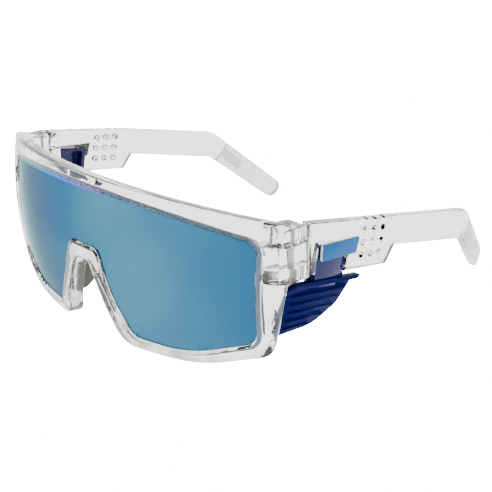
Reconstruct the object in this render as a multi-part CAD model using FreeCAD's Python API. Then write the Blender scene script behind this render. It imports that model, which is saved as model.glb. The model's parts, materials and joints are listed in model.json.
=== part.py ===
"""Wraparound shield sunglasses: clear frame, one mirror lens, folding temples, clip-on side shields.

Everything is drawn as worn, in millimetres: +X to the wearer's left, +Y towards the ears, +Z up,
with the joint line between the frame and the temples at y = 0, z = 0.  At the end the whole
assembly is tipped back to lie as on a table, with the rim and both ear tips at z = 0.
"""
import FreeCAD, Part
import math
import os

from FreeCAD import Placement, Rotation, Vector

# ---- driving dimensions -------------------------------------------------------------------
# frame front
FRONT_HALF_WIDTH = 72.8        # middle plane to the outer face of the rim
FACE_RADIUS = 134.0            # the front wraps on a sphere
FACE_CENTRE_Z = -2.5
FRONT_DEPTH = 12.4             # joint line to the front corner of the rim
RIM_THICKNESS = 5.0            # along the sphere's radius
BROW_Z = 1.5
BROW_DROOP = 0.9               # how far the brow falls from the middle to the corner
BROW_RADIUS = 2000.0
CORNER_RADIUS = 4.5            # brow to side
SIDE_HEIGHT = 43.5             # joint line down to the sharp corner of the side and the cheek
SIDE_LEAN = 1.5                # how far in the side stands at that corner
SIDE_RADIUS = 120.0            # where the side starts to lean in
SIDE_FOOT_RADIUS = 8.0
CHEEK_X = 46.0
CHEEK_RADIUS = 60.0
CHIN_Z = -54.3
CHIN_FALL = 2.0
NOSE_FOOT_X = 14.8
NOSE_FOOT_RADIUS = 9.0
NOSE_TOP_X = 3.0
NOSE_TOP_Z = -28.5
NOSE_TOP_RADIUS = 2.6
# clear band between the rim's outer edge and the lens opening
BROW_BAND = 7.3                # at the corners
BROW_BAND_RISE = 6.0           # how far the opening's top peaks above its corners
OPENING_TOP_RADIUS = 520.0
OPENING_CORNER_RADIUS = 4.6
SIDE_BAND = 6.9
SIDE_FOOT_BAND = 3.0
OPENING_FOOT_RADIUS = 6.5
CHEEK_BAND = 3.4
CHEEK_SHIFT = 4.0              # the opening's cheek stands this much nearer to the nose
OPENING_CHEEK_RADIUS = 50.0
CHIN_BAND = 4.7
NOSE_BAND = 5.5                # at the foot of the nose arch
NOSE_BAND_BOW = 1.4            # how far the notch's side bows towards the nose
NOTCH_SIDE_RADIUS = 50.0
NOTCH_FOOT_RADIUS = 4.2
BRIDGE_SIDE_BAND = 4.6
BRIDGE_BAND = 5.3              # top of the nose arch up to the lens notch
NOTCH_TOP_RADIUS = 3.4
EDGE_ROUND = 0.9
# lens
LENS_THICKNESS = 1.6
LENS_SETBACK = 1.0             # face of the rim to the face of the lens
LENS_GROOVE = 1.5              # how deep the lens edge sits in the rim
LENS_PLAY = 0.05
# brow plaque
PLAQUE_LENGTH = 15.0
PLAQUE_HEIGHT = 2.2
PLAQUE_DROP = 0.5              # brow's sharp edge down to the bar
PLAQUE_CORNER = 0.7
PLAQUE_PROUD = 0.35
PLAQUE_ROOT = 2.0              # how deep the bar runs into the rim
# hinges
HINGE_LEAN = 10.0              # degrees that the axis leans back from square to the temple
KNUCKLE_RADIUS = 3.2
KNUCKLE_COVER = 1.8            # knuckle to the joint line
KNUCKLE_TOP = 6.4              # height of the frame's upper knuckle
KNUCKLE_MIDDLE = 7.2           # height of the gap for the temple's knuckle
KNUCKLE_PLAY = 0.1
WALL_SKIN = 2.0                # outer wall of the end piece
WALL_GAP = 0.3
HINGE_SETBACK = KNUCKLE_RADIUS + KNUCKLE_COVER             # joint line to the axis
HINGE_INSET = KNUCKLE_RADIUS + WALL_SKIN + WALL_GAP        # outer face to the axis
END_REACH = 8.0                # end piece drawn this far past the corner, then trimmed
WEB_REACH = 2.0                # knuckle's web runs this far into the temple
END_DROP = 0.6                 # how far the end piece reaches below the temple
JOINT_GAP = 0.2
SCREW_RADIUS = 0.9
SCREW_HEAD_RADIUS = 1.7
SCREW_HEAD_HEIGHT = 1.1
SCREW_SLOT = 0.4
SCREW_PLAY = 0.05
INSERT_RADIUS = 1.6
INSERT_LENGTH = 3.6
# temples
TEMPLE_TOP_Z = 0.5
TEMPLE_HEIGHT = 17.7           # beside the hinge
ARM_HEIGHT = 10.9              # behind the step, measured from the joint line's top
TEMPLE_THICKNESS = 4.4
TEMPLE_ROUND = 0.8
ARM_THICKNESS = 3.7
TEMPLE_BOW = 1.5               # how far the temple swells past the rim
BOW_AT = 31.0
STEP_AT = 41.5
STEP_RUN = 3.5
STEP_ROUND = 1.2
STEP_THINNING = 8.0            # the arm is thin this far behind the step
FRONT_CORNER_ROUND = 0.6
TEMPLE_LEAD = 4.0              # plan drawn this far ahead of the joint line, then trimmed
BEND_AT = 90.0
BEND_TOP_RADIUS = 10.0
BEND_UNDER_RADIUS = 9.0
BEND_PLAN_RADIUS = 40.0
BEND_IN = 1.7                  # outer face at the bend, in from the rim
TOP_FALL = 2.3                 # top of the bend below the joint line
TOP_RADIUS = 150.0
PLAN_RADIUS = 60.0             # where the plan turns from the joint into the bow
BOW_OUTER_RADIUS = 300.0
BOW_INNER_RADIUS = 100.0
HOOK_LENGTH = 40.0
HOOK_DROP_ANGLE = 32.5
HOOK_IN_ANGLE = 19.5
HOOK_WIDTH = 8.4
HOOK_TAPER = 0.035             # radians between the hook's top and its underside
HOOK_TIP_BACK_RADIUS = 4.0
HOOK_TIP_LOW_RADIUS = 2.5
HOOK_TIP_PLAN_RADIUS = 1.6
HOOK_INNER_SETBACK = 0.6       # the underside bends this much further back than the top
TONGUE_LENGTH = 12.0
TONGUE_HEIGHT = 4.0
TONGUE_THICKNESS = 1.8
TONGUE_ROOT = 1.0
GRIP_START = 7.0               # bend to the front end of the ear grip
GRIP_RIBS = 6
GRIP_PITCH = 4.3
GRIP_GROOVE = 0.7
GRIP_DEPTH = 0.35
GRIP_SLANT = 12.0              # degrees
# dimples in the temple
DIMPLE_RADIUS = 1.2
DIMPLE_DEPTH = 2.8             # from the fullest part of the bow
DIMPLE_ROWS = 3
DIMPLE_COLUMNS = 3
DIMPLE_GAP = 2.8               # badge to the first column
DIMPLE_FIRST_Z = -3.6
DIMPLE_PITCH_Y = 4.75
DIMPLE_PITCH_Z = 4.4
NOTCH_RADIUS = 0.8
NOTCH_DROP = 0.3
# side shield and its clip
WINDOW_START = 5.4
WINDOW_LENGTH = 14.1
WINDOW_TOP_Z = -6.9
RAIL_WIDTH = 1.2
RAIL_DEPTH = 0.7
RAIL_SHIFT = 0.3               # outwards from the middle of the temple
CLIP_PLAY = 0.12
CLIP_INSET = 0.5               # clip face below the temple's outer face
CLIP_THICKNESS = 4.3
CLIP_WALL = 1.1
POCKET_ROUND = 1.2
POCKET_SLANT = 0.6
FOOT_LENGTH = 8.0              # tab that ties the clip to the shield
FOOT_THICKNESS = 1.1
FOOT_DEPTH = 2.6
FOOT_COVER = 0.7               # shield wall left outside the tab
SHIELD_THICKNESS = 1.6
SHIELD_BOW_RADIUS = 60.0
SHIELD_TOP_Z = -19.1
SHIELD_CHAMFER = 2.2
SHIELD_BOTTOM_Z = -37.3
SHIELD_FRONT_Y = -6.0
SHIELD_GAP = 0.5               # rim to the front edge of the shield
SHIELD_LIP_BACK = 28.8
SHIELD_LIP_HEIGHT = 1.6
SHIELD_LIP_PROUD = 0.8
SHIELD_LIP_TAPER = 2.0
SHIELD_LIP_ROUND = 0.4
SHIELD_CORNER_ROUND = 0.6
SHIELD_BACK_Y = 25.2           # rear end of the shield's top edge
SHIELD_BELLY = (10.0, 0.11, 16.0)      # y, share of the depth above the bottom, radius
SHIELD_WAIST = (19.3, 0.47, 8.0)
SHIELD_ROOT = 10.0             # drawn this far inside the rim's face, then trimmed
SHIELD_RIBS = 5
SHIELD_RIB_START = 2.2
SHIELD_RIB_PITCH = 2.9
SHIELD_RIB_HEIGHT = 0.9
SHIELD_RIB_PROUD = 0.35
SHIELD_BORDER = 2.2
# badge on the temple
BADGE_THICKNESS = 0.9
BADGE_START = 5.6
BADGE_TAIL = 4.3               # window's rear edge to the badge's rear end
BADGE_TOP_Z = -5.4
BADGE_HEIGHT = 5.6
BADGE_RISE = 1.3
BADGE_SLANT = 0.7
BADGE_ROUND = 0.6
BADGE_SEAT = 0.5               # share of the temple's bow where the badge sits
BADGE_PIN_RADIUS = 0.6
BADGE_PIN_SETBACK = 2.0        # window's rear edge to the pins
BADGE_PIN_LENGTH = 1.6
BADGE_PIN_HEIGHTS = (0.3, 0.75)        # shares of the badge's height
# nose pads
PAD_THICKNESS = 1.8
PAD_INSET = 1.0                # clear plastic left between the nose and the pad's root
PAD_SLOT_DEPTH = 3.0
PAD_REACH = 9.0
PAD_TOP_Z = -33.0
PAD_BOTTOM_Z = -47.0
PAD_ROUND = 0.6
PAD_TOP_REACH = 2.5
PAD_LOW_REACH = 2.0
PAD_BELLY_RISE = 5.4           # the fin reaches furthest this far above its bottom
PAD_BELLY_RADIUS = 2.6
PAD_ROOT_RADIUS = 0.8

FACE_CENTRE = Vector(0, math.sqrt(FACE_RADIUS ** 2 - FRONT_HALF_WIDTH ** 2) - FRONT_DEPTH,
                     FACE_CENTRE_Z)
LONG = 400.0                   # longer than anything it cuts
OVERCUT = 1.0
LYING_TOLERANCE = 0.02
LYING_ROUNDS = 20


# ---- drawing helpers ----------------------------------------------------------------------
def rounded_wire(corners):
    """Closed wire in the XY plane through (x, y, fillet radius) corners."""
    edges, ends = [], []
    count = len(corners)
    for index, (x, y, radius) in enumerate(corners):
        here = Vector(x, y, 0)
        back = (Vector(*corners[index - 1][:2], 0) - here).normalize()
        ahead = (Vector(*corners[(index + 1) % count][:2], 0) - here).normalize()
        if radius == 0:
            ends.append((here, here))
            edges.append(None)
            continue
        half = back.getAngle(ahead) / 2
        tangent = radius / math.tan(half)
        middle = (back + ahead).normalize()
        start, end = here + back * tangent, here + ahead * tangent
        crown = here + middle * (radius / math.sin(half) - radius)
        ends.append((start, end))
        edges.append(Part.Arc(start, crown, end).toShape())
    outline = []
    for index in range(count):
        if edges[index] is not None:
            outline.append(edges[index])
        run_start, run_end = ends[index][1], ends[(index + 1) % count][0]
        if run_start.distanceToPoint(run_end) > 1e-6:
            outline.append(Part.LineSegment(run_start, run_end).toShape())
    return Part.Wire(Part.__sortEdges__(outline))


def prism_along_y(wire):
    """A wire drawn as (x, z), run through the whole front from -Y to +Y."""
    face = Part.Face(wire)
    face.rotate(Vector(), Vector(1, 0, 0), 90)
    face.translate(Vector(0, LONG / 2, 0))
    return face.extrude(Vector(0, -LONG, 0))


def prism_along_x(wire, x_start, x_end):
    """A wire drawn as (y, z), run from x_start to x_end."""
    face = Part.Face(wire)
    face.rotate(Vector(), Vector(1, 1, 1), 120)
    face.translate(Vector(x_start, 0, 0))
    return face.extrude(Vector(x_end - x_start, 0, 0))


def prism_along_z(wire):
    face = Part.Face(wire)
    face.translate(Vector(0, 0, -LONG / 2))
    return face.extrude(Vector(0, 0, LONG))


def box(x_range, y_range, z_range):
    corner = Vector(x_range[0], y_range[0], z_range[0])
    return Part.makeBox(x_range[1] - x_range[0], y_range[1] - y_range[0], z_range[1] - z_range[0],
                        corner)


def sphere(radius):
    return Part.makeSphere(radius, FACE_CENTRE)


def face_shell(front_setback, thickness):
    """A layer of the wrapped front, between two spheres about one centre."""
    outer = FACE_RADIUS - front_setback
    return sphere(outer).cut(sphere(outer - thickness))


def face_y(x, z, radius=FACE_RADIUS):
    """Where a sphere about the face centre meets a line along Y."""
    drop = radius ** 2 - x ** 2 - (z - FACE_CENTRE_Z) ** 2
    return FACE_CENTRE.y - math.sqrt(drop)


def lean(shape):
    """From the hinge's own upright axes to the worn position."""
    leaned = shape.copy()
    leaned.rotate(Vector(), Vector(1, 0, 0), HINGE_LEAN)
    return leaned


def fuse(first, *others):
    return first.multiFuse(list(others)).removeSplitter()


def biggest(shape):
    return max(shape.Solids, key=lambda solid: solid.Volume)


def mirrored(shape):
    return shape.mirror(Vector(), Vector(1, 0, 0))


# ---- outlines of the front ----------------------------------------------------------------
def both_sides(half_corners, middle_corners):
    """Close a left half outline over the middle plane."""
    right = [(-x, z, radius) for x, z, radius in reversed(half_corners)]
    return rounded_wire([middle_corners[0]] + half_corners + middle_corners[1:] + right)


def nose_side_x(z):
    """Outer edge of the nose arch at a height."""
    share = (NOSE_TOP_Z - z) / (NOSE_TOP_Z - CHIN_Z)
    return NOSE_TOP_X + (NOSE_FOOT_X - NOSE_TOP_X) * share


def rim_outline():
    corner_z = BROW_Z - BROW_DROOP
    half = [
        (FRONT_HALF_WIDTH, corner_z, CORNER_RADIUS),
        (FRONT_HALF_WIDTH, SHIELD_TOP_Z, SIDE_RADIUS),
        (FRONT_HALF_WIDTH - SIDE_LEAN, -SIDE_HEIGHT, SIDE_FOOT_RADIUS),
        (CHEEK_X, CHIN_Z, CHEEK_RADIUS),
        (NOSE_FOOT_X, CHIN_Z - CHIN_FALL, NOSE_FOOT_RADIUS),
        (NOSE_TOP_X, NOSE_TOP_Z, NOSE_TOP_RADIUS),
    ]
    return both_sides(half, [(0, BROW_Z, BROW_RADIUS)])


def lens_opening_outline():
    corner_z = BROW_Z - BROW_DROOP - BROW_BAND
    inner_x = FRONT_HALF_WIDTH - SIDE_BAND
    foot_x, foot_z = NOSE_FOOT_X + NOSE_BAND, CHIN_Z - CHIN_FALL + CHIN_BAND
    top_x, top_z = NOSE_TOP_X + BRIDGE_SIDE_BAND, NOSE_TOP_Z + BRIDGE_BAND
    half = [
        (inner_x, corner_z, OPENING_CORNER_RADIUS),
        (inner_x, -SIDE_HEIGHT + SIDE_FOOT_BAND, OPENING_FOOT_RADIUS),
        (CHEEK_X - CHEEK_SHIFT, CHIN_Z + CHEEK_BAND, OPENING_CHEEK_RADIUS),
        (foot_x, foot_z, NOTCH_FOOT_RADIUS),
        ((foot_x + top_x) / 2 - NOSE_BAND_BOW, (foot_z + top_z) / 2, NOTCH_SIDE_RADIUS),
        (top_x, top_z, NOTCH_TOP_RADIUS),
    ]
    return both_sides(half, [(0, corner_z + BROW_BAND_RISE, OPENING_TOP_RADIUS)])


def lens_outline(play):
    return lens_opening_outline().makeOffset2D(LENS_GROOVE - play)


# ---- hinge ranges, along the leaning axis -------------------------------------------------
AXIS_X = FRONT_HALF_WIDTH - HINGE_INSET
END_TOP = TEMPLE_TOP_Z
END_BOTTOM = TEMPLE_TOP_Z - TEMPLE_HEIGHT - END_DROP
GAP_TOP = END_TOP - KNUCKLE_TOP
GAP_BOTTOM = GAP_TOP - KNUCKLE_MIDDLE


def axis_cylinder(radius, low, high):
    return Part.makeCylinder(radius, high - low, Vector(AXIS_X, -HINGE_SETBACK, low))


def knuckle_lug(low, high):
    """One of the frame's two knuckles, with its root run forward into the rim."""
    root = box((AXIS_X - KNUCKLE_RADIUS, FRONT_HALF_WIDTH), (-FRONT_DEPTH - END_REACH, -HINGE_SETBACK),
               (low, high))
    shoulder = box((AXIS_X, FRONT_HALF_WIDTH),
                   (-HINGE_SETBACK, -HINGE_SETBACK + KNUCKLE_RADIUS), (low, high))
    return root.fuse(shoulder).fuse(axis_cylinder(KNUCKLE_RADIUS, low, high))


def end_piece():
    """Outer wall and two knuckles of the frame's left end piece, still upright."""
    wall = box((FRONT_HALF_WIDTH - WALL_SKIN, FRONT_HALF_WIDTH),
               (-FRONT_DEPTH - END_REACH, 0), (END_BOTTOM, END_TOP))
    upper = knuckle_lug(GAP_TOP, END_TOP)
    lower = knuckle_lug(END_BOTTOM, GAP_BOTTOM)
    head_seat = axis_cylinder(SCREW_HEAD_RADIUS + SCREW_PLAY, END_TOP - SCREW_HEAD_HEIGHT,
                              END_TOP + OVERCUT)
    shank_hole = axis_cylinder(SCREW_RADIUS + SCREW_PLAY, END_BOTTOM, END_TOP)
    insert_hole = axis_cylinder(INSERT_RADIUS, END_BOTTOM, END_BOTTOM + INSERT_LENGTH)
    solid = fuse(wall, upper, lower)
    return solid.cut(head_seat).cut(shank_hole).cut(insert_hole)


def hinge_screw():
    shank = axis_cylinder(SCREW_RADIUS, END_BOTTOM, END_TOP - SCREW_HEAD_HEIGHT)
    head = axis_cylinder(SCREW_HEAD_RADIUS, END_TOP - SCREW_HEAD_HEIGHT, END_TOP)
    slot = box((AXIS_X - 2 * SCREW_HEAD_RADIUS, AXIS_X + 2 * SCREW_HEAD_RADIUS),
               (-HINGE_SETBACK - SCREW_SLOT / 2, -HINGE_SETBACK + SCREW_SLOT / 2),
               (END_TOP - SCREW_SLOT, END_TOP + OVERCUT))
    return lean(fuse(shank, head).cut(slot))


def hinge_insert():
    sleeve = axis_cylinder(INSERT_RADIUS, END_BOTTOM, END_BOTTOM + INSERT_LENGTH)
    return lean(sleeve.cut(axis_cylinder(SCREW_RADIUS, END_BOTTOM, END_BOTTOM + INSERT_LENGTH)))


def temple_knuckle():
    """The temple's middle knuckle and the web that carries it, still upright."""
    low, high = GAP_BOTTOM + KNUCKLE_PLAY, GAP_TOP - KNUCKLE_PLAY
    web_outer = FRONT_HALF_WIDTH - WALL_SKIN - WALL_GAP
    web = box((AXIS_X - KNUCKLE_RADIUS, web_outer), (-HINGE_SETBACK, WEB_REACH), (low, high))
    return web.fuse(axis_cylinder(KNUCKLE_RADIUS, low, high))


# ---- frame front --------------------------------------------------------------------------
def pad_plate():
    """A fin along the nose arch, drawn as (y, z) and leaned to follow the arch's side."""
    rear = FACE_RADIUS - RIM_THICKNESS
    top_y = face_y(nose_side_x(PAD_TOP_Z), PAD_TOP_Z, rear)
    low_y = face_y(nose_side_x(PAD_BOTTOM_Z), PAD_BOTTOM_Z, rear)
    profile = [
        (top_y - PAD_SLOT_DEPTH, PAD_TOP_Z, PAD_ROOT_RADIUS),
        (top_y + PAD_TOP_REACH, PAD_TOP_Z, PAD_BELLY_RADIUS),
        (top_y + PAD_REACH, PAD_BOTTOM_Z + PAD_BELLY_RISE, PAD_BELLY_RADIUS),
        (low_y + PAD_LOW_REACH, PAD_BOTTOM_Z, PAD_BELLY_RADIUS),
        (low_y - PAD_SLOT_DEPTH, PAD_BOTTOM_Z, PAD_ROOT_RADIUS),
    ]
    plate = prism_along_x(rounded_wire(profile), PAD_INSET, PAD_INSET + PAD_THICKNESS)
    lean_angle = math.atan2(NOSE_FOOT_X - NOSE_TOP_X, NOSE_TOP_Z - CHIN_Z)
    plate.rotate(Vector(0, 0, NOSE_TOP_Z), Vector(0, 1, 0), -math.degrees(lean_angle))
    plate.translate(Vector(NOSE_TOP_X, 0, 0))
    return plate


def nose_pad():
    plate = pad_plate()
    return plate.makeFillet(PAD_ROUND, plate.Edges)


def brow_plaque():
    """A plain raised bar on the middle of the brow."""
    top_z = BROW_Z - PLAQUE_DROP
    wire = rounded_wire([
        (PLAQUE_LENGTH / 2, top_z, PLAQUE_CORNER),
        (PLAQUE_LENGTH / 2, top_z - PLAQUE_HEIGHT, PLAQUE_CORNER),
        (-PLAQUE_LENGTH / 2, top_z - PLAQUE_HEIGHT, PLAQUE_CORNER),
        (-PLAQUE_LENGTH / 2, top_z, PLAQUE_CORNER),
    ])
    return prism_along_y(wire).common(face_shell(-PLAQUE_PROUD, PLAQUE_ROOT))


def front_frame():
    rim = prism_along_y(rim_outline()).common(face_shell(0, RIM_THICKNESS))
    rim = biggest(rim.common(box((-LONG, LONG), (-LONG, FACE_CENTRE.y), (-LONG, LONG))))
    opening = prism_along_y(lens_opening_outline())
    ring = rim.cut(opening)
    outer_edges = [edge for edge in ring.Edges if on_front_face(edge)]
    ring = ring.makeFillet(EDGE_ROUND, outer_edges)
    groove = prism_along_y(lens_outline(0)).common(face_shell(LENS_SETBACK, LENS_THICKNESS))
    rear_y = SHIELD_FRONT_Y - SHIELD_GAP
    ring = ring.cut(box((-LONG, LONG), (rear_y, LONG), (-LONG, LONG)))
    left_end = lean(end_piece()).common(sphere(FACE_RADIUS - EDGE_ROUND))
    solid = fuse(ring, left_end, mirrored(left_end), brow_plaque())
    for tool in (groove, before_lens(), pad_plate(), mirrored(pad_plate())):
        solid = solid.cut(tool)
    return biggest(solid)


def before_lens():
    """The opening from the lens's rear face forward, kept clear of the end pieces."""
    depth = LENS_SETBACK + LENS_THICKNESS
    return prism_along_y(lens_opening_outline()).common(face_shell(-OVERCUT, depth + OVERCUT))


def on_front_face(edge):
    """True for the edges where the front face of the rim turns back."""
    middle = edge.valueAt((edge.FirstParameter + edge.LastParameter) / 2)
    return abs(middle.distanceToPoint(FACE_CENTRE) - FACE_RADIUS) < 0.01


def lens():
    plate = prism_along_y(lens_outline(LENS_PLAY))
    shell = face_shell(LENS_SETBACK + LENS_PLAY, LENS_THICKNESS - 2 * LENS_PLAY)
    front_half = box((-LONG, LONG), (-LONG, FACE_CENTRE.y), (-LONG, LONG))
    return biggest(plate.common(shell).common(front_half))


# ---- temples ------------------------------------------------------------------------------
def hook_point(along):
    """A point on the outer face of the hook, from the bend."""
    inward = math.radians(HOOK_IN_ANGLE)
    x = FRONT_HALF_WIDTH - BEND_IN - math.sin(inward) * along
    return x, BEND_AT + math.cos(inward) * along


def temple_plan(inset=0.0):
    """The temple seen from above."""
    tip_x, tip_y = hook_point(HOOK_LENGTH)
    inward = math.radians(HOOK_IN_ANGLE)
    across_x, across_y = -math.cos(inward) * ARM_THICKNESS, -math.sin(inward) * ARM_THICKNESS
    bow_x, bend_x = FRONT_HALF_WIDTH + TEMPLE_BOW, FRONT_HALF_WIDTH - BEND_IN
    thin_y = STEP_AT + STEP_THINNING
    thin_x = bow_x - ARM_THICKNESS + (bend_x - bow_x) * (thin_y - BOW_AT) / (BEND_AT - BOW_AT)
    wire = rounded_wire([
        (FRONT_HALF_WIDTH, -TEMPLE_LEAD, 0),
        (FRONT_HALF_WIDTH, 0.0, PLAN_RADIUS),
        (bow_x, BOW_AT, BOW_OUTER_RADIUS),
        (bend_x, BEND_AT, BEND_PLAN_RADIUS),
        (tip_x, tip_y, HOOK_TIP_PLAN_RADIUS),
        (tip_x + across_x, tip_y + across_y, HOOK_TIP_PLAN_RADIUS),
        (bend_x - ARM_THICKNESS, BEND_AT, BEND_PLAN_RADIUS - ARM_THICKNESS),
        (thin_x, thin_y, PLAN_RADIUS),
        (bow_x - TEMPLE_THICKNESS, BOW_AT, BOW_INNER_RADIUS),
        (FRONT_HALF_WIDTH - TEMPLE_THICKNESS, 0.0, PLAN_RADIUS),
        (FRONT_HALF_WIDTH - TEMPLE_THICKNESS, -TEMPLE_LEAD, 0),
    ])
    return wire if inset == 0 else wire.makeOffset2D(-inset)


def temple_side(inset=0.0):
    """The temple seen from the side, as (y, z)."""
    lean_run = math.tan(math.radians(HINGE_LEAN))
    bottom_z = TEMPLE_TOP_Z - TEMPLE_HEIGHT
    arm_z = -ARM_HEIGHT
    drop = math.radians(HOOK_DROP_ANGLE)
    run = HOOK_LENGTH * math.cos(math.radians(HOOK_IN_ANGLE))
    top_bend = (BEND_AT, -TOP_FALL)
    tip_back = (BEND_AT + run, top_bend[1] - run * math.tan(drop))
    tip_low = (tip_back[0] - HOOK_WIDTH * math.sqrt(0.5), tip_back[1] - HOOK_WIDTH * math.sqrt(0.5))
    inner_bend_y = BEND_AT + HOOK_INNER_SETBACK
    slope = math.tan(drop - HOOK_TAPER) * (tip_low[0] - inner_bend_y)
    wire = rounded_wire([
        (JOINT_GAP - TEMPLE_TOP_Z * lean_run, TEMPLE_TOP_Z, FRONT_CORNER_ROUND),
        (STEP_AT, 0.0, TOP_RADIUS),
        (*top_bend, BEND_TOP_RADIUS),
        (*tip_back, HOOK_TIP_BACK_RADIUS),
        (*tip_low, HOOK_TIP_LOW_RADIUS),
        (inner_bend_y, tip_low[1] + slope, BEND_UNDER_RADIUS),
        (STEP_AT + STEP_RUN, arm_z, STEP_ROUND),
        (STEP_AT, bottom_z, STEP_ROUND),
        (JOINT_GAP - bottom_z * lean_run, bottom_z, FRONT_CORNER_ROUND),
    ])
    return wire if inset == 0 else wire.makeOffset2D(-inset)


def temple_blank(inset=0.0):
    plan = prism_along_z(temple_plan(inset))
    side = prism_along_x(temple_side(inset), 0, LONG)
    blank = biggest(plan.common(side))
    return blank if inset else blank.makeFillet(TEMPLE_ROUND, blank.Edges)


def hook_frame():
    """Middle of the hook at the bend, with X along the hook."""
    middle_x = FRONT_HALF_WIDTH - BEND_IN - ARM_THICKNESS / 2
    half_drop = HOOK_WIDTH / 2 / math.cos(math.radians(HOOK_DROP_ANGLE))
    turn = Rotation(90 + HOOK_IN_ANGLE, HOOK_DROP_ANGLE, 0)
    return Placement(Vector(middle_x, BEND_AT, -TOP_FALL - half_drop), turn)


def along_hook(shape):
    placed = shape.copy()
    placed.Placement = hook_frame().multiply(placed.Placement)
    return placed


def behind_grip_line():
    """Everything on the hook behind the front end of the ear grip."""
    reach = 2 * HOOK_LENGTH
    return along_hook(box((GRIP_START, GRIP_START + reach), (-reach, reach), (-reach, reach)))


def tongue(play=0.0):
    half_y, half_z = TONGUE_THICKNESS / 2 + play, TONGUE_HEIGHT / 2 + play
    return along_hook(box((GRIP_START - TONGUE_ROOT, GRIP_START + TONGUE_LENGTH + play), (-half_y, half_y),
                          (-half_z, half_z)))


def ear_grip():
    grip = biggest(temple_blank().common(behind_grip_line()))
    core = temple_blank(GRIP_DEPTH)
    for number in range(GRIP_RIBS):
        start = GRIP_START + GRIP_PITCH * (number + 1)
        slab = along_hook(slanted_slab(start))
        grip = grip.cut(slab.cut(core))
    return biggest(grip.cut(tongue()))


def slanted_slab(start):
    slab = box((-GRIP_GROOVE / 2, GRIP_GROOVE / 2), (-HOOK_LENGTH, HOOK_LENGTH),
               (-HOOK_LENGTH, HOOK_LENGTH))
    slab.rotate(Vector(), Vector(0, 1, 0), GRIP_SLANT)
    slab.translate(Vector(start, 0, 0))
    return slab


def window_shape(grow=0.0):
    """The clip's window in the temple, open at the bottom, with its two side rails left in."""
    low_y, high_y = WINDOW_START - grow, WINDOW_START + WINDOW_LENGTH + grow
    opening = box((0, LONG), (low_y, high_y), (-LONG, WINDOW_TOP_Z + grow))
    rail_middle = FRONT_HALF_WIDTH - TEMPLE_THICKNESS / 2 + RAIL_SHIFT
    rail_half = RAIL_WIDTH / 2 - grow
    rails = ((low_y - OVERCUT, low_y + RAIL_DEPTH), (high_y - RAIL_DEPTH, high_y + OVERCUT))
    for y_range in rails:
        opening = opening.cut(box((rail_middle - rail_half, rail_middle + rail_half), y_range,
                                  (-LONG, LONG)))
    return opening


def dimples():
    tools = []
    start_x = FRONT_HALF_WIDTH + TEMPLE_BOW - DIMPLE_DEPTH
    outwards = Vector(1, 0, 0)
    for column in range(DIMPLE_COLUMNS):
        y = badge_end_y() + DIMPLE_GAP + DIMPLE_PITCH_Y * column
        for row in range(DIMPLE_ROWS):
            start = Vector(start_x, y, DIMPLE_FIRST_Z - DIMPLE_PITCH_Z * row)
            tools.append(Part.makeCylinder(DIMPLE_RADIUS, 2 * DIMPLE_DEPTH, start, outwards))
        start = Vector(start_x, y, TEMPLE_TOP_Z - NOTCH_DROP)
        tools.append(Part.makeCylinder(NOTCH_RADIUS, 2 * DIMPLE_DEPTH, start, outwards))
    return tools


def temple():
    blank = temple_blank()
    blank = biggest(blank.cut(behind_grip_line()))
    knuckle = lean(temple_knuckle())
    solid = fuse(blank, knuckle, tongue())
    solid = solid.cut(window_shape())
    solid = solid.cut(lean(axis_cylinder(SCREW_RADIUS + SCREW_PLAY, END_BOTTOM, END_TOP)))
    for tool in dimples() + [badge()]:
        solid = solid.cut(tool)
    return biggest(solid)


# ---- badge --------------------------------------------------------------------------------
def badge_face_x():
    return FRONT_HALF_WIDTH + TEMPLE_BOW * BADGE_SEAT


def badge_end_y():
    return WINDOW_START + WINDOW_LENGTH + BADGE_TAIL


def badge_pins():
    """Two pins behind the window's rear edge."""
    pins = []
    for share in BADGE_PIN_HEIGHTS:
        y = WINDOW_START + WINDOW_LENGTH + BADGE_PIN_SETBACK
        z = BADGE_TOP_Z - BADGE_HEIGHT * share
        pins.append(Part.makeCylinder(BADGE_PIN_RADIUS, BADGE_PIN_LENGTH,
                                      Vector(badge_face_x() - BADGE_PIN_LENGTH, y, z),
                                      Vector(1, 0, 0)))
    return pins


def badge():
    end_y = badge_end_y()
    wire = rounded_wire([
        (BADGE_START, BADGE_TOP_Z - BADGE_RISE, BADGE_ROUND),
        (end_y, BADGE_TOP_Z, BADGE_ROUND),
        (end_y - BADGE_SLANT, BADGE_TOP_Z - BADGE_HEIGHT, BADGE_ROUND),
        (BADGE_START + BADGE_SLANT, BADGE_TOP_Z - BADGE_HEIGHT - BADGE_RISE, BADGE_ROUND),
    ])
    plate = prism_along_x(wire, badge_face_x(), badge_face_x() + BADGE_THICKNESS)
    return fuse(plate, *badge_pins())


# ---- side shield --------------------------------------------------------------------------
def shield_outline(inset=0.0):
    """The shield seen from the side, as (y, z)."""
    depth = SHIELD_TOP_Z - SHIELD_BOTTOM_Z
    curve = [(y, SHIELD_BOTTOM_Z + depth * share, radius)
             for y, share, radius in (SHIELD_BELLY, SHIELD_WAIST)]
    wire = rounded_wire([
        (SHIELD_FRONT_Y + SHIELD_CHAMFER, SHIELD_TOP_Z, SHIELD_CORNER_ROUND),
        (SHIELD_FRONT_Y, SHIELD_TOP_Z - SHIELD_CHAMFER, SHIELD_CORNER_ROUND),
        (SHIELD_FRONT_Y, SHIELD_BOTTOM_Z, SHIELD_CORNER_ROUND),
        *curve,
        (SHIELD_BACK_Y, SHIELD_TOP_Z, SHIELD_CORNER_ROUND),
    ])
    return wire if inset == 0 else wire.makeOffset2D(-inset)


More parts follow.
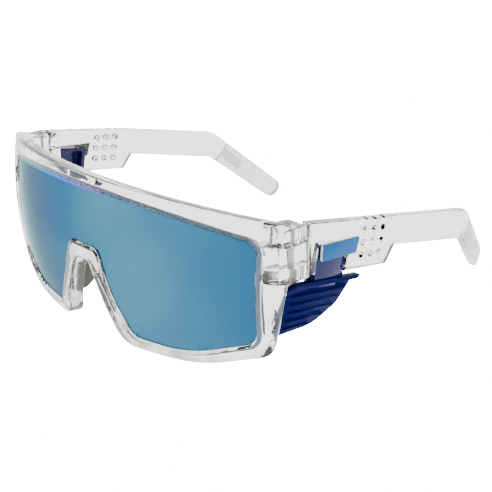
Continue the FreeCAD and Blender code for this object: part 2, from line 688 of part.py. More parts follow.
def shield_skin(outer_proud, thickness):
    """A layer bowed about a line along Y, tangent to the rim's outer face at the shield's top."""
    radius = SHIELD_BOW_RADIUS + outer_proud
    start = Vector(FRONT_HALF_WIDTH - SHIELD_BOW_RADIUS, -LONG / 2, SHIELD_TOP_Z)
    outer = Part.makeCylinder(radius, LONG, start, Vector(0, 1, 0))
    inner = Part.makeCylinder(radius - thickness, LONG, start, Vector(0, 1, 0))
    return outer.cut(inner)


def shield_ribs():
    """Raised horizontal ribs that stop short of the front border."""
    field = prism_along_x(shield_outline(SHIELD_RIB_HEIGHT), FRONT_HALF_WIDTH - SHIELD_ROOT, LONG)
    field = field.cut(box((0, LONG), (-LONG, SHIELD_FRONT_Y + SHIELD_BORDER), (-LONG, LONG)))
    skin = shield_skin(SHIELD_RIB_PROUD, SHIELD_RIB_PROUD + SHIELD_THICKNESS / 2)
    ribs = []
    for number in range(SHIELD_RIBS):
        top_z = SHIELD_TOP_Z - SHIELD_LIP_HEIGHT - SHIELD_RIB_START - SHIELD_RIB_PITCH * number
        band = box((0, LONG), (-LONG, LONG), (top_z - SHIELD_RIB_HEIGHT, top_z))
        ribs.append(field.common(skin).common(band))
    return ribs


def clip_foot(play=0.0):
    """The tab under the clip that the shield's top lip holds."""
    middle_y = WINDOW_START + WINDOW_LENGTH / 2
    half = FOOT_LENGTH / 2 + play
    outer_x = FRONT_HALF_WIDTH + SHIELD_LIP_PROUD - FOOT_COVER + play
    return box((outer_x - FOOT_THICKNESS - 2 * play, outer_x), (middle_y - half, middle_y + half),
               (SHIELD_TOP_Z - FOOT_DEPTH - play, SHIELD_TOP_Z))


def side_shield():
    plate = prism_along_x(shield_outline(), FRONT_HALF_WIDTH - SHIELD_ROOT, LONG)
    plate = plate.common(shield_skin(0, SHIELD_THICKNESS))
    plate = plate.common(box((0, LONG), (-LONG, LONG), (-LONG, SHIELD_TOP_Z)))
    lip_front = SHIELD_FRONT_Y + SHIELD_CHAMFER
    lip_wire = rounded_wire([
        (lip_front, SHIELD_TOP_Z, SHIELD_LIP_ROUND),
        (lip_front, SHIELD_TOP_Z - SHIELD_LIP_HEIGHT, SHIELD_LIP_ROUND),
        (SHIELD_LIP_BACK - SHIELD_LIP_TAPER, SHIELD_TOP_Z - SHIELD_LIP_HEIGHT, SHIELD_LIP_ROUND),
        (SHIELD_LIP_BACK, SHIELD_TOP_Z, SHIELD_LIP_ROUND),
    ])
    lip = prism_along_x(lip_wire, FRONT_HALF_WIDTH - SHIELD_THICKNESS,
                        FRONT_HALF_WIDTH + SHIELD_LIP_PROUD)
    shelf = box((clip_inner_x(), FRONT_HALF_WIDTH - SHIELD_THICKNESS / 2),
                (WINDOW_START + CLIP_PLAY, WINDOW_START + WINDOW_LENGTH - CLIP_PLAY),
                (SHIELD_TOP_Z - SHIELD_LIP_HEIGHT, SHIELD_TOP_Z))
    return biggest(fuse(plate, lip, shelf, *shield_ribs()).cut(clip_foot()))


def clip_outer_x():
    return badge_face_x() - CLIP_INSET


def clip_inner_x():
    return clip_outer_x() - CLIP_THICKNESS


def shield_clip():
    """A hollow block in the temple's window, grooved for its rails."""
    block = box((clip_inner_x(), clip_outer_x()), (0, LONG), (SHIELD_TOP_Z, LONG))
    block = block.common(window_shape(-CLIP_PLAY))
    back_y = WINDOW_START + WINDOW_LENGTH - CLIP_PLAY
    side_wall = CLIP_WALL + RAIL_DEPTH
    low_y, high_y = WINDOW_START + CLIP_PLAY + side_wall, back_y - side_wall
    pocket_wire = rounded_wire([
        (low_y, WINDOW_TOP_Z - CLIP_WALL - POCKET_SLANT, POCKET_ROUND),
        (high_y, WINDOW_TOP_Z - CLIP_WALL, POCKET_ROUND),
        (high_y, SHIELD_TOP_Z + CLIP_WALL, POCKET_ROUND),
        (low_y, SHIELD_TOP_Z + CLIP_WALL, POCKET_ROUND),
    ])
    pocket = prism_along_x(pocket_wire, clip_inner_x() - OVERCUT, clip_outer_x() - CLIP_WALL)
    return biggest(fuse(block.cut(pocket), clip_foot()))


# ---- lying pose ---------------------------------------------------------------------------
def lying_placement(front, grip):
    """Tip the worn position back until the rim and the ear tips stand at one height."""
    front_points = front.tessellate(LYING_TOLERANCE)[0]
    grip_points = grip.tessellate(LYING_TOLERANCE)[0]
    tilt = 0.0
    for _ in range(LYING_ROUNDS):
        turn = Rotation(Vector(1, 0, 0), -math.degrees(tilt))
        foot = min(front_points, key=lambda point: turn.multVec(point).z)
        tip = min(grip_points, key=lambda point: turn.multVec(point).z)
        tilt = math.atan2(tip.z - foot.z, tip.y - foot.y)
    turn = Rotation(Vector(1, 0, 0), -math.degrees(tilt))
    turned = [turn.multVec(point) for point in front_points + grip_points]
    low_y, high_y = min(point.y for point in turned), max(point.y for point in turned)
    shift = Vector(0, -(low_y + high_y) / 2, -min(point.z for point in turned))
    return Placement(shift, turn)


# ---- build --------------------------------------------------------------------------------
SINGLE_PIECES = {"front_frame": front_frame, "lens": lens}
PAIRED_PIECES = {
    "nose_pad": nose_pad, "hinge_screw": hinge_screw, "hinge_insert": hinge_insert,
    "temple": temple, "ear_grip": ear_grip, "badge": badge,
    "side_shield": side_shield, "shield_clip": shield_clip,
}


def build():
    """Every piece by name, as worn; left is the wearer's left, at +X."""
    pieces = {name: make() for name, make in SINGLE_PIECES.items()}
    for name, make in PAIRED_PIECES.items():
        left = make()
        pieces[name + "_left"] = left
        pieces[name + "_right"] = mirrored(left)
    return pieces


def main():
    os.makedirs("parts", exist_ok=True)
    pieces = build()
    lying = lying_placement(pieces["front_frame"], pieces["ear_grip_left"])
    for name, shape in pieces.items():
        shape.transformShape(lying.toMatrix())
        shape.exportStep("parts/" + name + ".step")
    print(len(pieces), "pieces; tipped back",
          round(math.degrees(lying.Rotation.Angle), 3), "degrees")


if __name__ == "__main__":
    main()
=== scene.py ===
# %% [markdown]
# # Clear shield sunglasses with clip-on side shields
#
# This lesson dresses a pair of wraparound shield glasses: a crystal-clear frame, one blue mirror
# lens, folding temples with soft ear grips, and a navy side shield clipped into each temple.
# The mechanical model is loaded first as a fixed frame.  Every finished piece is then made to sit
# exactly where its mechanical twin sits, in metres, and rides on the body that the twin belongs to.

# %% Load the frame
import json
import math

import bpy
from mathutils import Matrix, Vector
from mathutils.kdtree import KDTree


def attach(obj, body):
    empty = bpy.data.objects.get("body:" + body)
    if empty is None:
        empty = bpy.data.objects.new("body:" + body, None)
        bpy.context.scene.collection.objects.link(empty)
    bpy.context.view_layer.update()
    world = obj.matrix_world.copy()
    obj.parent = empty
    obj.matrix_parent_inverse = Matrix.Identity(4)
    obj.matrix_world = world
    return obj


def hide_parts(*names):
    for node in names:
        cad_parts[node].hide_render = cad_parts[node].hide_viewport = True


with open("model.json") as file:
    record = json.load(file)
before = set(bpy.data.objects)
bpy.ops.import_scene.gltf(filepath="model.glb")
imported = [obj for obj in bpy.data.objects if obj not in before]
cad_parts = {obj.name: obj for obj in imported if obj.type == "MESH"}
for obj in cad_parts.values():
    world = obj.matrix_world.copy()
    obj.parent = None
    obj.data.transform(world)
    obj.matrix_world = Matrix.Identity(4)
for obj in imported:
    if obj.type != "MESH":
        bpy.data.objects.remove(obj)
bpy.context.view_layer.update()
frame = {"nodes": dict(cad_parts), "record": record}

JOINTS = {joint["name"]: joint for joint in frame["record"]["behaviour"]["joints"]}
SIDES = ("left", "right")
MM = 0.001
print("nodes:", len(frame["nodes"]), "joints:", len(JOINTS))

# %% [markdown]
# The glasses lie open on a table, so they are tipped back a little from the way they are worn.
# The side shields slide straight down out of the temples, so their sliding direction tells how far
# everything is tipped.  Working in the worn position is easier: the middle plane is x = 0, the
# temples run along +Y, and z = 0 is the top line of the hinges.

# %% The worn position
HINGE_LEAN = math.radians(10.0)
HINGE_SETBACK = 5.0 * MM

down = Vector(JOINTS["shield_release_left"]["axis"])
tip_back = math.atan2(-down.y, -down.z)
hinge = Vector(JOINTS["temple_fold_left"]["pos_m"])
turn = Matrix.Rotation(-tip_back, 3, "X")
hinge_worn = Matrix.Rotation(HINGE_LEAN, 3, "X") @ Vector((hinge.x, -HINGE_SETBACK, 0))
WORN_ORIGIN = hinge - turn @ hinge_worn
LYING = Matrix.Translation(WORN_ORIGIN) @ turn.to_4x4()
print("tipped back", round(math.degrees(tip_back), 2), "degrees; origin", WORN_ORIGIN)

# %% [markdown]
# ## Small helpers
# Blender's operators act on everything that is selected, and loading the frame leaves all of its
# nodes selected.  So each step starts from a clean selection with one active object.

# %% Selection and finishing helpers
def only(piece):
    """Select this object alone and make it active."""
    bpy.ops.object.select_all(action="DESELECT")
    piece.select_set(True)
    bpy.context.view_layer.objects.active = piece
    return piece


def edit(piece):
    only(piece)
    bpy.ops.object.mode_set(mode="EDIT")
    bpy.ops.mesh.select_all(action="SELECT")


def edit_chosen(piece):
    """Edit only the faces that are already selected."""
    only(piece)
    bpy.ops.object.mode_set(mode="EDIT")
    bpy.ops.mesh.select_mode(type="FACE")


def done():
    bpy.ops.object.mode_set(mode="OBJECT")


def modify(piece, kind, **settings):
    """Add a modifier with these settings and apply it."""
    only(piece)
    bpy.ops.object.modifier_add(type=kind)
    modifier = piece.modifiers[-1]
    for name, value in settings.items():
        setattr(modifier, name, value)
    bpy.ops.object.modifier_apply(modifier=modifier.name)


def rest_in_mesh(piece):
    """Move the object's place into its mesh, so that the object sits at the origin."""
    only(piece)
    bpy.ops.object.transform_apply(location=True, rotation=True, scale=True)


def smooth(piece, degrees=30.0):
    only(piece)
    bpy.ops.object.shade_smooth_by_angle(angle=math.radians(degrees))


def twin_of(node, name):
    """A copy of a frame node with its own mesh, its loose triangles joined at their corners."""
    source = frame["nodes"][node]
    piece = source.copy()
    piece.data = source.data.copy()
    piece.name = name
    piece.parent = None
    piece.matrix_world = source.matrix_world
    bpy.context.scene.collection.objects.link(piece)
    rest_in_mesh(piece)
    edit(piece)
    bpy.ops.mesh.remove_doubles(threshold=0.002 * MM)
    done()
    return piece


def dress(piece, material, body, slot, *nodes):
    """Give a finished piece its material and body and hide the nodes it stands for; slot is not used.
    """
    piece.data.materials.clear()
    piece.data.materials.append(material)
    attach(piece, body)
    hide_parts(*nodes)
    print(piece.name, len(piece.data.polygons), "faces on", body)


# %% [markdown]
# ## A small language for materials
# Shader trees read better as sums.  `Value` wraps one output socket, so that `0.2 + 0.5 * noise`
# adds the Math nodes by itself.  `Finish` owns one material and its Principled shader: numbers that
# are the same all over go straight on the shader's sockets, and only what really varies is wired.

# %% Material kit
class Value:
    """One number socket of a material, with ordinary arithmetic."""

    def __init__(self, finish, socket):
        self.finish = finish
        self.socket = socket

    def _math(self, operation, first, second):
        return self.finish.node("ShaderNodeMath", {"operation": operation}, first, second)

    def __add__(self, other):
        return self._math("ADD", self, other)

    def __sub__(self, other):
        return self._math("SUBTRACT", self, other)

    def __rsub__(self, other):
        return self._math("SUBTRACT", other, self)

    def __mul__(self, other):
        return self._math("MULTIPLY", self, other)

    def __truediv__(self, other):
        return self._math("DIVIDE", self, other)

    __radd__ = __add__
    __rmul__ = __mul__

    def clamped(self, low, high):
        """0 at low, 1 at high, and a smooth slope between them."""
        settings = {"interpolation_type": "SMOOTHSTEP"}
        return self.finish.node("ShaderNodeMapRange", settings, self, low, high)

    def falling(self, low, high):
        """1 at low, 0 at high."""
        return 1.0 - self.clamped(low, high)

    def band(self, rise, fall):
        """1 between the two slopes, 0 outside them."""
        return self.clamped(*rise) * self.falling(*fall)


class Finish:
    """A material whose shader is one Principled node."""

    def __init__(self, name, **constants):
        self.material = bpy.data.materials.new(name)
        self.material.use_nodes = True
        self.tree = self.material.node_tree
        self.shader = self.tree.nodes["Principled BSDF"]
        for socket, value in constants.items():
            socket = self.shader.inputs[socket.replace("_", " ")]
            socket.default_value = (*value, 1.0) if isinstance(value, tuple) else value

    def node(self, kind, settings, *inputs, output=0):
        """A node with its settings first, then the values or links of its sockets in order."""
        made = self.tree.nodes.new(kind)
        for name, value in settings.items():
            setattr(made, name, value)
        sockets = [socket for socket in made.inputs if socket.enabled]
        for socket, value in zip(sockets, inputs):
            self.feed(socket, value)
        return Value(self, made.outputs[output])

    def feed(self, socket, value):
        if isinstance(value, Value):
            self.tree.links.new(value.socket, socket)
        elif isinstance(value, tuple) and len(socket.default_value) == 4:
            socket.default_value = (*value, 1.0)
        else:
            socket.default_value = value

    def drive(self, socket, value):
        self.feed(self.shader.inputs[socket], value)

    def place(self):
        """Object coordinates: the place in the frame, in metres."""
        return self.node("ShaderNodeTexCoord", {}, output=3)

    def axis(self, letter):
        """One coordinate of the place."""
        split = self.node("ShaderNodeSeparateXYZ", {}, self.place())
        return Value(self, split.socket.node.outputs["XYZ".index(letter)])

    def noise(self, size, detail=3.0):
        """Soft cloudy noise with features of this size in metres."""
        texture = self.node("ShaderNodeTexNoise", {}, self.place())
        texture.socket.node.inputs["Scale"].default_value = 1.0 / size
        texture.socket.node.inputs["Detail"].default_value = detail
        return texture

    def attribute(self, name):
        """A number that is stored on the mesh."""
        return self.node("ShaderNodeAttribute", {"attribute_name": name}, output=2)

    def blend(self, share, first, second):
        """A colour that goes from first to second."""
        mix = self.tree.nodes.new("ShaderNodeMix")
        mix.data_type = "RGBA"
        for socket, value in zip((mix.inputs[0], mix.inputs[6], mix.inputs[7]), (share, first, second)):
            self.feed(socket, value)
        return Value(self, mix.outputs[2])

    def ramp(self, value, stops):
        """A colour that follows these (position, colour) stops."""
        made = self.node("ShaderNodeValToRGB", {}, value)
        elements = made.socket.node.color_ramp.elements
        while len(elements) < len(stops):
            elements.new(1.0)
        for element, (position, colour) in zip(elements, stops):
            element.position = position
            element.color = (*colour, 1.0)
        return made

    def relief(self, height, depth):
        """Bump whose full height is depth metres."""
        bump = self.tree.nodes.new("ShaderNodeBump")
        bump.inputs["Distance"].default_value = depth
        self.feed(bump.inputs["Height"], height)
        self.drive("Normal", Value(self, bump.outputs["Normal"]))


# %% [markdown]
# ## Crystal-clear plastic
# The frame and the temples are moulded from water-clear nylon.  It is polished, and its faces are
# never perfectly flat: slow waves from the moulding bend what is seen through them.  Full
# transmission with the plastic's own index does most of the work, and a low, wide bump gives the
# waves.  The nose arch and the chin of the rim are thick and turn through many angles, so they pick
# up dark grey-green reflections.  Those are painted, as streaks of a deeper colour in just those two
# places, and so they stay put when the viewer moves.

# %% Clear plastic
ARCH_SIDE = (18 * MM, 24 * MM)          # where the thick nose arch fades out sideways
ARCH_TOP = (26 * MM, 36 * MM)
CHIN_TOP = (2 * MM, 9 * MM)
FRONT_REAR = (-52 * MM, -42 * MM)       # where the front ends and the temples start


def clear_plastic():
    finish = Finish("clear_plastic", Transmission_Weight=1.0, IOR=1.49)
    across, along, up = finish.axis("X"), finish.axis("Y"), finish.axis("Z")
    inner, outer = ARCH_SIDE
    # Painted reflections: grey-green streaks over the thick nose arch and the chin.
    arch = across.band((-outer, -inner), ARCH_SIDE) * up.falling(*ARCH_TOP)
    chin = up.falling(*CHIN_TOP)
    painted_reflection_share = finish.node("ShaderNodeMath", {"operation": "MAXIMUM"}, arch, chin)
    painted_reflection_share = painted_reflection_share * along.falling(*FRONT_REAR) * 0.9
    water = finish.blend(finish.noise(22 * MM), (0.985, 0.990, 0.958), (0.950, 0.962, 0.925))
    reflection_streaks = finish.noise(3.5 * MM, 2.0).clamped(0.40, 0.60)
    reflection_green = finish.blend(reflection_streaks, (0.30, 0.335, 0.285), (0.78, 0.81, 0.76))
    finish.drive("Base Color", finish.blend(painted_reflection_share, water, reflection_green))
    finish.drive("Roughness", 0.015 + 0.03 * finish.noise(9 * MM).clamped(0.45, 0.75))
    finish.relief(finish.noise(14 * MM, 1.0) + 0.12 * finish.noise(1.2 * MM, 2.0), 0.05 * MM)
    return finish.material


def clear_grip():
    """The ear grips: the same clear colour in a softer, satin plastic."""
    finish = Finish("clear_grip", Transmission_Weight=0.85, IOR=1.45)
    cloud = finish.noise(8 * MM)
    finish.drive("Base Color", finish.blend(cloud, (0.97, 0.975, 0.965), (0.90, 0.915, 0.895)))
    finish.drive("Roughness", 0.22 + 0.16 * finish.noise(2.5 * MM))
    finish.relief(finish.noise(0.5 * MM, 2.0), 0.03 * MM)
    return finish.material


# %% [markdown]
# ## Blue mirror lens
# The mirror coat is made here as a thin metal film under a clear varnish.  A metal's own edge tint
# keeps it from turning white where it is seen at a flat angle.  A real mirror coat changes colour
# with the angle it is seen at, and it mirrors what is around it.  Here those colours are painted
# reflections, put where they fall in the main view: a grey green at the far edge, a deeper blue
# beside the near hinge, one deeper patch under the brow and a thin rainbow along the far brow.  So
# they stay put when the viewer moves, and the left and right halves of the lens aren't coloured
# alike.  A thin dark line of painted shade runs all round, where the lens turns into its groove.
# The distance to the lens's own edge is stored on the mesh as an attribute, in millimetres.

# %% Mirror lens
FAR_EDGE = (-75 * MM, -45 * MM)         # the grey green fades out over this stretch
NEAR_HINGE = (20 * MM, 80 * MM)         # and the deeper blue comes in over this one
RAINBOW_START, RAINBOW_LENGTH = -72 * MM, 85 * MM
RAINBOW = ((0.0, (0.05, 0.45, 0.20)), (0.3, (0.02, 0.50, 0.50)), (0.6, (0.02, 0.20, 0.80)),
           (0.85, (0.16, 0.06, 0.60)), (1.0, (0.10, 0.12, 0.30)))


def mirror_lens():
    finish = Finish("mirror_lens", Coat_Weight=0.12, Coat_Roughness=0.03, Metallic=0.85,
                    Specular_Tint=(0.20, 0.36, 0.36))
    across, up = finish.axis("X"), finish.axis("Z")
    inside = finish.attribute("edge_distance")

    cloud = finish.noise(38 * MM, 1.5).clamped(0.35, 0.65)
    film_and_painted_light = finish.blend(cloud, (0.026, 0.120, 0.212), (0.040, 0.146, 0.228))
    # Painted reflections: a deeper blue towards the near hinge, a grey green at the far edge and a
    # deeper patch under the brow.
    film_and_painted_light = finish.blend(across.clamped(*NEAR_HINGE), film_and_painted_light, (0.006, 0.070, 0.165))
    film_and_painted_light = finish.blend(across.falling(*FAR_EDGE), film_and_painted_light, (0.040, 0.095, 0.100))
    reflection_patch = across.band((-66 * MM, -50 * MM), (-18 * MM, 10 * MM)) * up.clamped(24 * MM, 38 * MM)
    film_and_painted_light = finish.blend(reflection_patch * 0.85, film_and_painted_light, (0.006, 0.085, 0.190))

    # Painted reflection: a thin rainbow along the far brow.
    rainbow = finish.ramp((across - RAINBOW_START) / RAINBOW_LENGTH, RAINBOW)
    along_brow = up.clamped(40 * MM, 46 * MM) * across.falling(0.0, 16 * MM)
    film_and_painted_light = finish.blend(inside.falling(2.2, 3.2) * along_brow, film_and_painted_light, rainbow)
    # Painted shade: a thin dark line all round, where the lens turns into its groove.
    film_and_painted_light = finish.blend(inside.falling(1.6, 2.1) * 0.8, film_and_painted_light, (0.006, 0.045, 0.105))
    finish.drive("Base Color", film_and_painted_light)
    finish.drive("Roughness", 0.10 + 0.05 * finish.noise(5 * MM))
    finish.relief(finish.noise(30 * MM, 0.0), 0.05 * MM)
    return finish.material


# %% [markdown]
# ## The other finishes
# The side shields are a deep navy moulding with a satin surface, and their clips a smoky blue that
# lets a little light through.  The pads are satin rubber.  The screws are turned steel and the
# inserts plated brass: fine rings round the pin catch the light.  The badge is anodised aluminium,
# blue on its face and bare on its bevelled edge.

# %% Coloured plastics, rubber and metals
def navy_plastic():
    finish = Finish("navy_plastic", Specular_IOR_Level=0.02)
    cloud = finish.noise(10 * MM)
    finish.drive("Base Color", finish.blend(cloud, (0.0001, 0.0015, 0.055), (0.0003, 0.0032, 0.080)))
    finish.drive("Roughness", 0.32 + 0.12 * finish.noise(1.5 * MM))
    finish.relief(finish.noise(0.35 * MM, 2.0), 0.012 * MM)
    return finish.material


def smoke_blue_plastic():
    finish = Finish("smoke_blue_plastic", Transmission_Weight=0.25, IOR=1.49, Specular_IOR_Level=0.12)
    cloud = finish.noise(4 * MM)
    finish.drive("Base Color", finish.blend(cloud, (0.001, 0.004, 0.075), (0.008, 0.016, 0.120)))
    finish.drive("Roughness", 0.05 + 0.06 * finish.noise(2 * MM))
    finish.relief(finish.noise(3 * MM, 1.0), 0.06 * MM)
    return finish.material


def pad_rubber():
    finish = Finish("pad_rubber", IOR=1.45, Specular_IOR_Level=0.25)
    cloud = finish.noise(3 * MM)
    finish.drive("Base Color", finish.blend(cloud, (0.028, 0.037, 0.021), (0.046, 0.056, 0.036)))
    finish.drive("Roughness", 0.42 + 0.2 * finish.noise(1.0 * MM))
    finish.relief(finish.noise(0.25 * MM, 2.0), 0.02 * MM)
    return finish.material


def turned_metal(name, dark, light, ring=0.25 * MM):
    """Metal with fine turned rings along the screw."""
    finish = Finish(name, Metallic=1.0)
    rings = finish.node("ShaderNodeMath", {"operation": "SINE"}, finish.axis("Z") * (math.tau / ring))
    finish.drive("Base Color", finish.blend(finish.noise(1.5 * MM), dark, light))
    finish.drive("Roughness", 0.22 + 0.08 * rings)
    finish.relief(rings, 0.01 * MM)
    return finish.material


def badge_aluminium():
    """Blue anodising on the face, worn through to bare metal along the bevel."""
    finish = Finish("badge_aluminium", Metallic=0.15, Coat_Weight=0.03, Specular_IOR_Level=0.1)
    bare = finish.attribute("bevel")
    cloud = finish.noise(5 * MM)
    blue = finish.blend(cloud, (0.0, 0.085, 0.29), (0.0, 0.110, 0.34))
    finish.drive("Base Color", finish.blend(bare, blue, (0.86, 0.90, 0.94)))
    finish.drive("Roughness", 0.20 + 0.12 * finish.noise(0.8 * MM))
    finish.relief(finish.noise(0.3 * MM, 1.0), 0.006 * MM)
    return finish.material


CLEAR = clear_plastic()
GRIP = clear_grip()
LENS = mirror_lens()
NAVY = navy_plastic()
SMOKE = smoke_blue_plastic()
RUBBER = pad_rubber()
STEEL = turned_metal("screw_steel", (0.16, 0.19, 0.25), (0.34, 0.37, 0.42))
BRASS = turned_metal("insert_brass", (0.30, 0.28, 0.22), (0.46, 0.43, 0.34))
BADGE = badge_aluminium()
print("finishes:", len(bpy.data.materials))

# %% [markdown]
# ## Clear mouldings: front and temples
# These three are the mechanical shapes themselves, so a joined copy of each is enough.  Flat areas
# lose their needless diagonals first, then a narrow bevel breaks every sharp moulded edge, because
# in clear plastic it is the edges that catch the light.

# %% Moulded copies with broken edges
def moulded(node, name, bevel, degrees=32.0):
    piece = twin_of(node, name)
    edit(piece)
    bpy.ops.mesh.dissolve_limited(angle_limit=math.radians(0.8))
    done()
    if bevel:
        modify(piece, "BEVEL", width=bevel, segments=2, limit_method="ANGLE",
               angle_limit=math.radians(degrees), use_clamp_overlap=True, miter_outer="MITER_ARC")
    edit(piece)
    bpy.ops.mesh.remove_doubles(threshold=0.001 * MM)
    bpy.ops.mesh.quads_convert_to_tris()
    done()
    smooth(piece, degrees)
    return piece


front = moulded("front_frame", "clear_front", 0.12 * MM)
dress(front, CLEAR, "front", "clear_plastic", "front_frame")
for side in SIDES:
    temple = moulded("temple_" + side, "clear_temple_" + side, 0.10 * MM)
    dress(temple, CLEAR, "temple_" + side, "clear_plastic", "temple_" + side)

# %% [markdown]
# ## The lens
# A mirror shows every facet, so the lens needs a truly round surface.  Its copy is subdivided, and
# a strip along its edge once more, because the painted shade line is only as sharp as the mesh there.
# Then the Cast modifier throws the front and the rear faces each onto its own sphere about the
# common centre of the wrapped front.  Both spheres leave a little air to the groove, whose faceted
# walls would cut through the lens otherwise.  The attribute for the edge line is measured last.

# %% Round lens
FACE_RADIUS = 134.0 * MM
HALF_WIDTH = 72.8 * MM
FRONT_DEPTH = 12.4 * MM
FACE_CENTRE_Z = -2.5 * MM
LENS_CUTS = 3
LENS_MARGIN = 4.5 * MM          # width of the strip along the edge that is cut finer
MARGIN_CUTS = 2
LENS_AIR = 0.05 * MM            # extra air between the lens and its groove
WALL_SHARE = 0.25               # the edge wall's corners lie this near the middle of the thickness

face_centre = LYING @ Vector((0, math.sqrt(FACE_RADIUS ** 2 - HALF_WIDTH ** 2) - FRONT_DEPTH,
                              FACE_CENTRE_Z))


def reach(corner):
    """How far a corner lies from the face centre."""
    return (corner.co - face_centre).length


def onto_sphere(piece, name, chosen, radius):
    """Throw the chosen corners onto a sphere about the face centre."""
    group = piece.vertex_groups.new(name=name)
    group.add(chosen, 1.0, "REPLACE")
    bpy.ops.object.empty_add(location=face_centre)
    centre = bpy.context.object
    modify(piece, "CAST", cast_type="SPHERE", factor=1.0, radius=0.0, size=radius,
           use_radius_as_size=False, vertex_group=name, object=centre)
    bpy.data.objects.remove(centre)


lens = twin_of("lens", "mirror_lens_shield")
outer = max(map(reach, lens.data.vertices))
inner = min(map(reach, lens.data.vertices))
middle, wall_depth = (outer + inner) / 2, WALL_SHARE * (outer - inner)
edit(lens)
bpy.ops.mesh.subdivide(number_cuts=LENS_CUTS)
done()

walls = [corner.co.copy() for corner in lens.data.vertices if abs(reach(corner) - middle) < wall_depth]
edge = KDTree(len(walls))
for number, place in enumerate(walls):
    edge.insert(place, number)
edge.balance()
print("lens radii", round(inner / MM, 2), "and", round(outer / MM, 2), "mm;", len(walls), "edge points")

# %% Finer strip, spheres and edge distance
edit(lens)
bpy.ops.mesh.select_all(action="DESELECT")
done()
for face in lens.data.polygons:
    face.select = edge.find(face.center)[2] < LENS_MARGIN
edit_chosen(lens)
bpy.ops.mesh.subdivide(number_cuts=MARGIN_CUTS)
done()

skins = {outer - LENS_AIR: [], inner + LENS_AIR: []}
for corner in lens.data.vertices:
    height = reach(corner) - middle
    if abs(height) > wall_depth:
        skins[outer - LENS_AIR if height > 0 else inner + LENS_AIR].append(corner.index)
for number, (radius, chosen) in enumerate(skins.items()):
    onto_sphere(lens, "skin_%d" % number, chosen, radius)

distance = lens.data.attributes.new("edge_distance", "FLOAT", "POINT")
for corner in lens.data.vertices:
    distance.data[corner.index].value = edge.find(corner.co)[2] / MM
smooth(lens, 40.0)
dress(lens, LENS, "front", "mirror_lens", "lens")

# %% [markdown]
# ## Soft pieces: nose pads and ear grips
# Rubber and soft plastic have no hard edges at all.  A fine voxel remesh turns the joined copy into
# one even skin, and a smoothing pass rounds it, the way a soft moulding comes out of its tool.

# %% Softened pads and grips
def softened(node, name, voxel, rounds, swell):
    piece = twin_of(node, name)
    modify(piece, "REMESH", mode="VOXEL", voxel_size=voxel)
    modify(piece, "SMOOTH", factor=0.5, iterations=rounds)
    modify(piece, "DISPLACE", strength=swell, mid_level=0.0)
    smooth(piece, 60.0)
    return piece


for side in SIDES:
    pad = softened("nose_pad_" + side, "soft_nose_pad_" + side, 0.22 * MM, 6, 0.04 * MM)
    dress(pad, RUBBER, "front", "pad_rubber", "nose_pad_" + side)
    grip = softened("ear_grip_" + side, "soft_ear_grip_" + side, 0.26 * MM, 3, 0.03 * MM)
    dress(grip, GRIP, "temple_" + side, "clear_grip", "ear_grip_" + side)

# %% [markdown]
# ## Side shields and their clips
# The shield's lip, ribs and outline have small moulded radii.  A wider bevel on the joined copy
# rounds them all in one go, and the same helper as for the clear mouldings does it.

# %% Shields and clips
for side in SIDES:
    shield = moulded("side_shield_" + side, "navy_shield_" + side, 0.14 * MM, 35.0)
    dress(shield, NAVY, "shield_" + side, "navy_plastic", "side_shield_" + side)
    clip = moulded("shield_clip_" + side, "blue_clip_" + side, 0.12 * MM, 35.0)
    dress(clip, SMOKE, "shield_" + side, "smoke_blue_plastic", "shield_clip_" + side)

# %% [markdown]
# ## Badges
# The badge is a small blank plate of blue aluminium with a bright edge.  The bevel that breaks its
# edge is marked as an attribute, so that the finish can leave it bare.

# %% Badges
BADGE_BEVEL = 0.16 * MM
BARE_FROM = 0.2                 # share of the bevel, from the face inwards, that stays blue
for side in SIDES:
    badge = twin_of("badge_" + side, "blue_badge_" + side)
    edit(badge)
    bpy.ops.mesh.dissolve_limited(angle_limit=math.radians(0.8))
    done()
    face_x = max(abs(corner.co.x) for corner in badge.data.vertices)
    modify(badge, "BEVEL", width=BADGE_BEVEL, segments=3, limit_method="ANGLE",
           angle_limit=math.radians(50), use_clamp_overlap=True)
    bare = badge.data.attributes.new("bevel", "FLOAT", "POINT")
    for corner in badge.data.vertices:
        bare.data[corner.index].value = float(abs(corner.co.x) < face_x - BARE_FROM * BADGE_BEVEL)
    smooth(badge, 35.0)
    dress(badge, BADGE, "temple_" + side, "badge_aluminium", "badge_" + side)

# %% [markdown]
# ## Hinge screws and inserts
# Both are simple turned parts, and their shapes are already right, so the frame's own nodes stay and
# only get their metal.

# %% Metal parts keep their nodes
for side in SIDES:
    for node, material in (("hinge_screw_", STEEL), ("hinge_insert_", BRASS)):
        metal = frame["nodes"][node + side]
        metal.data.materials.clear()
        metal.data.materials.append(material)

# %% [markdown]
# ## Floor, light and camera
# Clear plastic only shows against something, so the surroundings do most of its modelling: a pale
# floor and a white sky for the body of it, and darker zones overhead and to one side that draw the
# grey lines along its edges.  Seen directly, the floor and the sky are pure white, as in a studio
# with a lit backdrop.  To every other ray they are only as bright as soft studio light, so that the
# clear plastic reads a little greyer than what lies behind it.

# %% Floor
FLOOR_SIZE = 6.0
WHITE = 30.0                    # the floor's strength where it is seen directly
LIT_SHARE = 0.08                # and the share of it that lights the object

floor_finish = Finish("pale_floor", Roughness=0.9, Specular_IOR_Level=0.1)
paint = floor_finish.blend(floor_finish.noise(0.4), (0.93, 0.93, 0.93), (0.95, 0.95, 0.95))
floor_finish.drive("Base Color", paint)
seen = floor_finish.node("ShaderNodeLightPath", {})
floor_finish.drive("Emission Color", floor_finish.blend(seen, (LIT_SHARE,) * 3, (1.0, 1.0, 1.0)))
floor_finish.shader.inputs["Emission Strength"].default_value = WHITE
bpy.ops.mesh.primitive_plane_add(size=FLOOR_SIZE, location=(0, 0, 0))
floor = bpy.context.object
floor.name = "floor"
floor.data.materials.append(floor_finish.material)
print("floor", FLOOR_SIZE, "m square")

# %% Sky
SKY_STRENGTH = 2.6
SKY_SEEN = 12.0

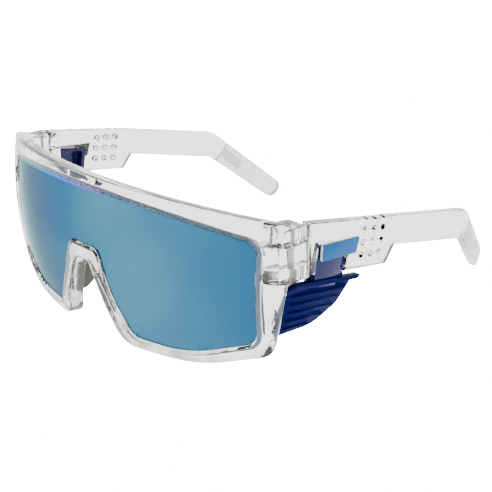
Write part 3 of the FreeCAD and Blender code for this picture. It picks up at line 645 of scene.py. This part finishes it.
world = bpy.data.worlds.new("studio")
world.use_nodes = True
bpy.context.scene.world = world
sky = world.node_tree
backdrop = sky.nodes["Background"]
backdrop.inputs["Strength"].default_value = SKY_STRENGTH
split = sky.nodes.new("ShaderNodeSeparateXYZ")
sky.links.new(sky.nodes.new("ShaderNodeTexCoord").outputs["Generated"], split.inputs[0])


def dark_zone(letter, start, full, colour):
    """White up to start, then darker towards this direction, and this colour from full on."""
    ramp = sky.nodes.new("ShaderNodeValToRGB")
    bright, dark = ramp.color_ramp.elements
    bright.position, bright.color = start, (1, 1, 1, 1)
    dark.position, dark.color = full, (*colour, 1)
    sky.links.new(split.outputs[letter], ramp.inputs["Fac"])
    return ramp.outputs["Color"]


def sky_mix(blend_type, first):
    """A colour mix whose first colour is wired."""
    mix = sky.nodes.new("ShaderNodeMix")
    mix.data_type, mix.blend_type = "RGBA", blend_type
    sky.links.new(first, mix.inputs[6])
    return mix


zones = sky_mix("MULTIPLY", dark_zone("Z", 0.30, 0.62, (0.02, 0.03, 0.025)))
zones.inputs[0].default_value = 1.0
sky.links.new(dark_zone("X", 0.55, 0.85, (0.04, 0.05, 0.045)), zones.inputs[7])
plain = sky_mix("MIX", zones.outputs[2])
plain.inputs[7].default_value = (SKY_SEEN, SKY_SEEN, SKY_SEEN, 1)
sky.links.new(sky.nodes.new("ShaderNodeLightPath").outputs["Is Camera Ray"], plain.inputs[0])
sky.links.new(plain.outputs[2], backdrop.inputs["Color"])

# %% Camera
AIM = Vector((29.4, 14.16, -23.9)) * MM
AZIMUTH, ELEVATION = math.radians(45.80), math.radians(22.39)
DISTANCE = 0.390
bpy.ops.object.camera_add()
camera = bpy.context.object
back = Vector((math.sin(AZIMUTH) * math.cos(ELEVATION), -math.cos(AZIMUTH) * math.cos(ELEVATION),
               math.sin(ELEVATION)))
camera.location = WORN_ORIGIN + AIM + back * DISTANCE
camera.rotation_mode = "QUATERNION"
camera.rotation_quaternion = (-back).to_track_quat("-Z", "Y")
camera.data.sensor_width = 36.0
camera.data.lens = 80.49
camera.data.clip_start = 0.01
bpy.context.scene.camera = camera
print("camera at", [round(value, 3) for value in camera.location])
